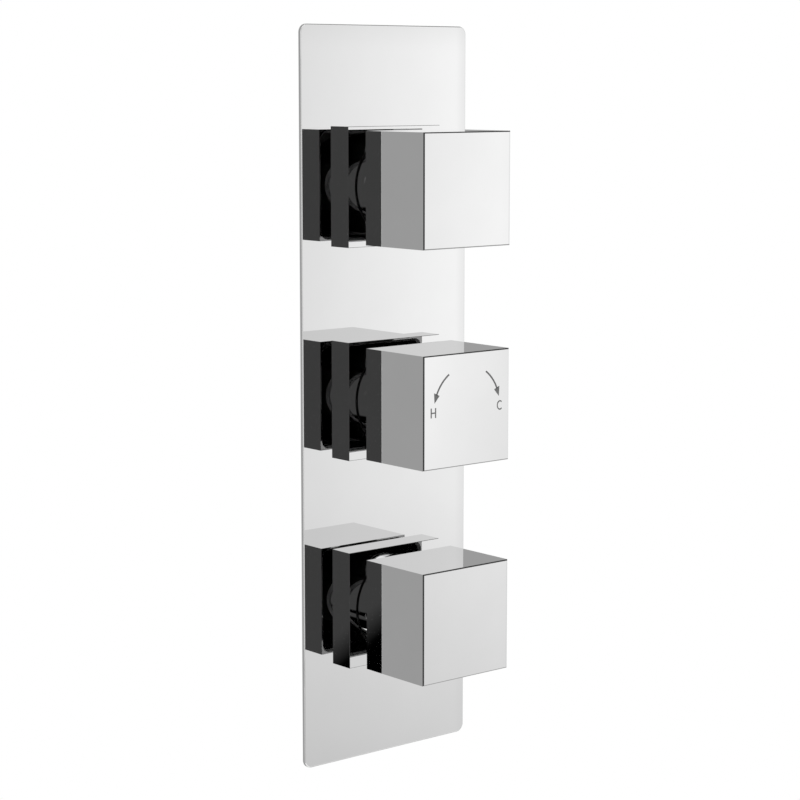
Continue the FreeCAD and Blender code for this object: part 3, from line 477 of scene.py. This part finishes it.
def flat_piece(name, outline_groups, face_y):
    """Thin piece in front of a knob's face, from groups of quads and triangles in (x, z)."""
    points, faces = [], []
    front, back = face_y - MARK_GAP - MARK_T, face_y - MARK_GAP
    for outline in outline_groups:
        start, count = len(points), len(outline)
        points += [(x, front, z) for x, z in outline] + [(x, back, z) for x, z in outline]
        faces.append(tuple(range(start, start + count)))
        faces.append(tuple(range(start + 2 * count - 1, start + count - 1, -1)))
        for i in range(count):
            j = (i + 1) % count
            faces.append((start + i, start + count + i, start + count + j, start + j))
    return mesh_object(name, points, faces)


def on_circle(r, degrees):
    a = math.radians(degrees)
    return r * math.cos(a), r * math.sin(a)


def arc_band(r_in, r_out, start, end, steps):
    """Quads along an arc."""
    quads = []
    for i in range(steps):
        a, b = (start + (end - start) * k / steps for k in (i, i + 1))
        quads.append([on_circle(r_in, a), on_circle(r_out, a), on_circle(r_out, b), on_circle(r_in, b)])
    return quads


def arrow(start, tip):
    """Curved arrow from one angle to another, with its head at the second."""
    sign = 1 if tip > start else -1
    neck = tip - sign * math.degrees(HEAD_LENGTH / ARROW_R)
    shaft_end = neck + sign * HEAD_OVERLAP
    shaft = arc_band(ARROW_R - ARROW_W / 2, ARROW_R + ARROW_W / 2, start, shaft_end, ARROW_STEPS)
    inner, outer = (on_circle(ARROW_R + side * HEAD_W / 2, neck) for side in (-1, 1))
    return shaft + [[inner, outer, on_circle(ARROW_R, tip)]]


def bar(x0, x1, z0, z1):
    return [(x0, z0), (x1, z0), (x1, z1), (x0, z1)]


def letter_h(x):
    w, h, s = LETTER_W / 2, LETTER_H / 2, STROKE
    left, right = bar(x - w, x - w + s, -h, h), bar(x + w - s, x + w, -h, h)
    return [left, right, bar(x - w + s, x + w - s, -s / 2, s / 2)]


def letter_c(x):
    squeeze = LETTER_W / LETTER_H * C_WIDENING
    band = arc_band(LETTER_H / 2 - STROKE, LETTER_H / 2, *C_ARC, C_STEPS)
    return [[(x + px * squeeze, pz) for px, pz in quad] for quad in band]


def add_marks():
    """Hot and cold arrows and letters on the temperature knob."""
    face_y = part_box("middle_knob")[0].y
    paint = moulded("mark_grey", *MARK_PAINT)
    marks = {
        "hot_arrow": arrow(*HOT_ARC),
        "cold_arrow": arrow(*COLD_ARC),
        "hot_letter": letter_h(-LETTER_X),
        "cold_letter": letter_c(LETTER_X),
    }
    for name, outlines in marks.items():
        piece = flat_piece(name, outlines, face_y)
        piece.data.materials.append(paint)
        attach(piece, "temperature")


class Glow(Shader):
    """White light-giving surface of an even strength, which another node may steer."""

    def __init__(self, name, strength=1.0):
        super().__init__(name)
        self.light = self.node("ShaderNodeEmission", {"Color": (1.0, 1.0, 1.0, 1.0), "Strength": strength})
        self.tree.nodes.remove(self.bsdf)
        self.feed(self.output.inputs["Surface"], self.light.outputs[0])

    def steer(self, strength):
        self.feed(self.light.inputs["Strength"], strength)

    def clear_from_behind(self):
        clear = self.node("ShaderNodeBsdfTransparent", {"Color": (1.0, 1.0, 1.0, 1.0)}).outputs[0]
        back = self.node("ShaderNodeNewGeometry").outputs["Backfacing"]
        both = self.node("ShaderNodeMixShader", {0: back, 1: self.light.outputs[0], 2: clear})
        self.feed(self.output.inputs["Surface"], both.outputs[0])


def card(name, build, azimuth, elevation, width, height, distance=CARD_DISTANCE):
    """Panel that only reflections see; azimuth is counted from the front towards +X."""
    az, el = math.radians(azimuth), math.radians(elevation)
    towards = Vector((math.sin(az) * math.cos(el), -math.cos(az) * math.cos(el), math.sin(el)))
    w, h = width / 2, height / 2
    panel = mesh_object(name, [(-w, -h, 0), (w, -h, 0), (w, h, 0), (-w, h, 0)], [(0, 1, 2, 3)])
    panel.location = distance * towards
    panel.rotation_euler = (-towards).to_track_quat("Z", "Y").to_euler()
    panel.data.materials.append(build(name))
    panel.visible_camera = False


def plain_flag(name):
    """Dark cloth."""
    return Glow(name, FLAG_LEVEL).material


def fading_flag(fade, slant=0.0):
    """Dark cloth that is black below an edge, which may slant."""
    def build(name):
        s = Glow(name)
        above_edge = s.math("SUBTRACT", s.axis("Y"), s.math("MULTIPLY", s.axis("X"), slant))
        s.steer(s.span(above_edge, 0.0, FLAG_LEVEL, *fade))
        return s.material

    return build


def main_softbox(name):
    """Large softbox to the front right: brightest near its middle, weaker low down and above."""
    s = Glow(name)
    across = s.levels(s.span(s.axis("X"), 0.0, 1.0, *SOFTBOX_ACROSS), SOFTBOX_ACROSS_STOPS)
    upright = s.levels(s.span(s.axis("Y"), 0.0, 1.0, *SOFTBOX_UPRIGHT), SOFTBOX_UPRIGHT_STOPS)
    evened = s.math("POWER", upright, SOFTBOX_EVENING)
    fall = s.math("MULTIPLY", s.math("SUBTRACT", 1.0, across), evened)
    level = s.math("MULTIPLY", upright, s.math("SUBTRACT", 1.0, fall))
    s.steer(s.math("MULTIPLY", level, SOFTBOX_PEAK))
    return s.material


def graded_sheet(name):
    """Paper sweep, grey at its foot and pale at its head."""
    s = Glow(name)
    s.steer(s.span(s.axis("Y"), *GRADED_LEVELS, GRADED_FROM, GRADED_TO))
    return s.material


def seen_ray(s):
    """One for rays that show the surround as it is: to the camera, in metal and through glass."""
    path = s.node("ShaderNodeLightPath")
    metal = s.math("MAXIMUM", path.outputs["Is Glossy Ray"], path.outputs["Is Transmission Ray"])
    return s.math("MAXIMUM", path.outputs["Is Camera Ray"], metal)


def framed_sheet(name, y, half, glow):
    """Upright sheet that is clear from behind, with an opening behind the faceplate."""
    x, z = WALL_HOLE_X, WALL_HOLE_Z
    outer = [(-half, y, -half), (half, y, -half), (half, y, half), (-half, y, half)]
    inner = [(-x, y, -z), (x, y, -z), (x, y, z), (-x, y, z)]
    faces = [(i, (i + 1) % 4, 4 + (i + 1) % 4, 4 + i) for i in range(4)]
    sheet = mesh_object(name, outer + inner, faces)
    glow.clear_from_behind()
    sheet.data.materials.append(glow.material)
    return sheet


def add_wall():
    """White wall, and the grey board round the plate that only reflections see."""
    white = Glow("studio_wall")
    white.steer(white.span(seen_ray(white), SURROUND_LIGHT, 1.0, 0.0, 1.0))
    framed_sheet("studio_wall", WALL_Y, WALL_HALF, white)
    grey = Glow("studio_board", BOARD_LEVEL)
    board = framed_sheet("studio_board", BOARD_Y, BOARD_HALF, grey)
    board.visible_camera = False


def add_floor():
    a, z = WALL_HALF, FLOOR_Z
    floor = mesh_object("studio_floor", [(-a, -a, z), (a, -a, z), (a, a, z), (-a, a, z)], [(0, 1, 2, 3)])
    floor.data.materials.append(Glow("studio_floor").material)
    floor.visible_glossy = False


def add_cards():
    card(
        "softbox_right", main_softbox, azimuth=42.0, elevation=0.0, width=3.2, height=2.2,
        distance=SOFTBOX_DISTANCE,
    )
    slanting, under = fading_flag(FLAG_FADE, FLAG_SLANT), fading_flag(UNDER_FADE)
    card("flag_camera", slanting, azimuth=-38.5, elevation=0.0, width=0.36, height=5.0)
    card("flag_left", plain_flag, azimuth=-49.5, elevation=-7.0, width=0.42, height=0.86)
    card("flag_over", plain_flag, azimuth=-30.0, elevation=25.0, width=0.54, height=1.04)
    card("flag_under", under, azimuth=-28.5, elevation=-28.0, width=0.58, height=0.84)
    card("flag_high", plain_flag, azimuth=77.0, elevation=52.0, width=2.0, height=1.5)
    card("flag_low", plain_flag, azimuth=102.0, elevation=-52.0, width=2.0, height=1.5)
    for name, azimuth in (("graded_front", 0.0), ("graded_right", 95.0), ("graded_left", -95.0)):
        card(name, graded_sheet, azimuth, elevation=0.0, width=1.0, height=2.8)


def add_lamp(name, place, size, energy):
    data = bpy.data.lights.new(name, "AREA")
    data.size = size
    data.energy = energy
    lamp = link(bpy.data.objects.new(name, data))
    lamp.location = place
    lamp.rotation_euler = (-Vector(place)).to_track_quat("-Z", "Y").to_euler()
    lamp.visible_glossy = False
    lamp.visible_camera = False


def add_lamps():
    add_lamp("lamp_front", place=(0.8, -1.6, 0.9), size=1.2, energy=18.0)
    add_lamp("lamp_back", place=(-0.9, 1.5, 1.0), size=1.2, energy=22.0)
    add_lamp("lamp_back_low", place=(1.2, 1.3, -0.2), size=1.0, energy=9.0)


def set_world():
    """White surround to the camera and to metal, and softer as a light."""
    world = bpy.data.worlds.new("studio")
    bpy.context.scene.world = world
    world.use_nodes = True
    tree = world.node_tree
    path = tree.nodes.new("ShaderNodeLightPath")
    seen = path.outputs["Is Camera Ray"]
    for kind in ("Is Glossy Ray", "Is Transmission Ray"):
        either = tree.nodes.new("ShaderNodeMath")
        either.operation = "MAXIMUM"
        tree.links.new(seen, either.inputs[0])
        tree.links.new(path.outputs[kind], either.inputs[1])
        seen = either.outputs[0]
    level = tree.nodes.new("ShaderNodeMapRange")
    level.inputs["To Min"].default_value = SURROUND_LIGHT
    level.inputs["To Max"].default_value = 1.0
    tree.links.new(seen, level.inputs["Value"])
    surround = tree.nodes["Background"]
    surround.inputs["Color"].default_value = (1.0, 1.0, 1.0, 1.0)
    tree.links.new(level.outputs["Result"], surround.inputs["Strength"])


def add_camera():
    data = bpy.data.cameras.new("camera")
    data.lens = CAMERA_LENS
    data.sensor_width = SENSOR
    data.clip_start = CLIP_START
    data.clip_end = CLIP_END
    camera = link(bpy.data.objects.new("camera", data))
    yaw, pitch = math.radians(CAMERA_YAW), math.radians(CAMERA_PITCH)
    ahead = Vector((math.sin(yaw) * math.cos(pitch), math.cos(yaw) * math.cos(pitch), math.sin(pitch)))
    camera.location = CAMERA_AT
    camera.rotation_euler = ahead.to_track_quat("-Z", "Y").to_euler()
    bpy.context.scene.camera = camera


dress_nodes()
add_springs()
add_marks()
add_wall()
add_floor()
add_cards()
add_lamps()
set_world()
add_camera()
bpy.context.scene.view_settings.view_transform = "Standard"

bpy.context.view_layer.update()
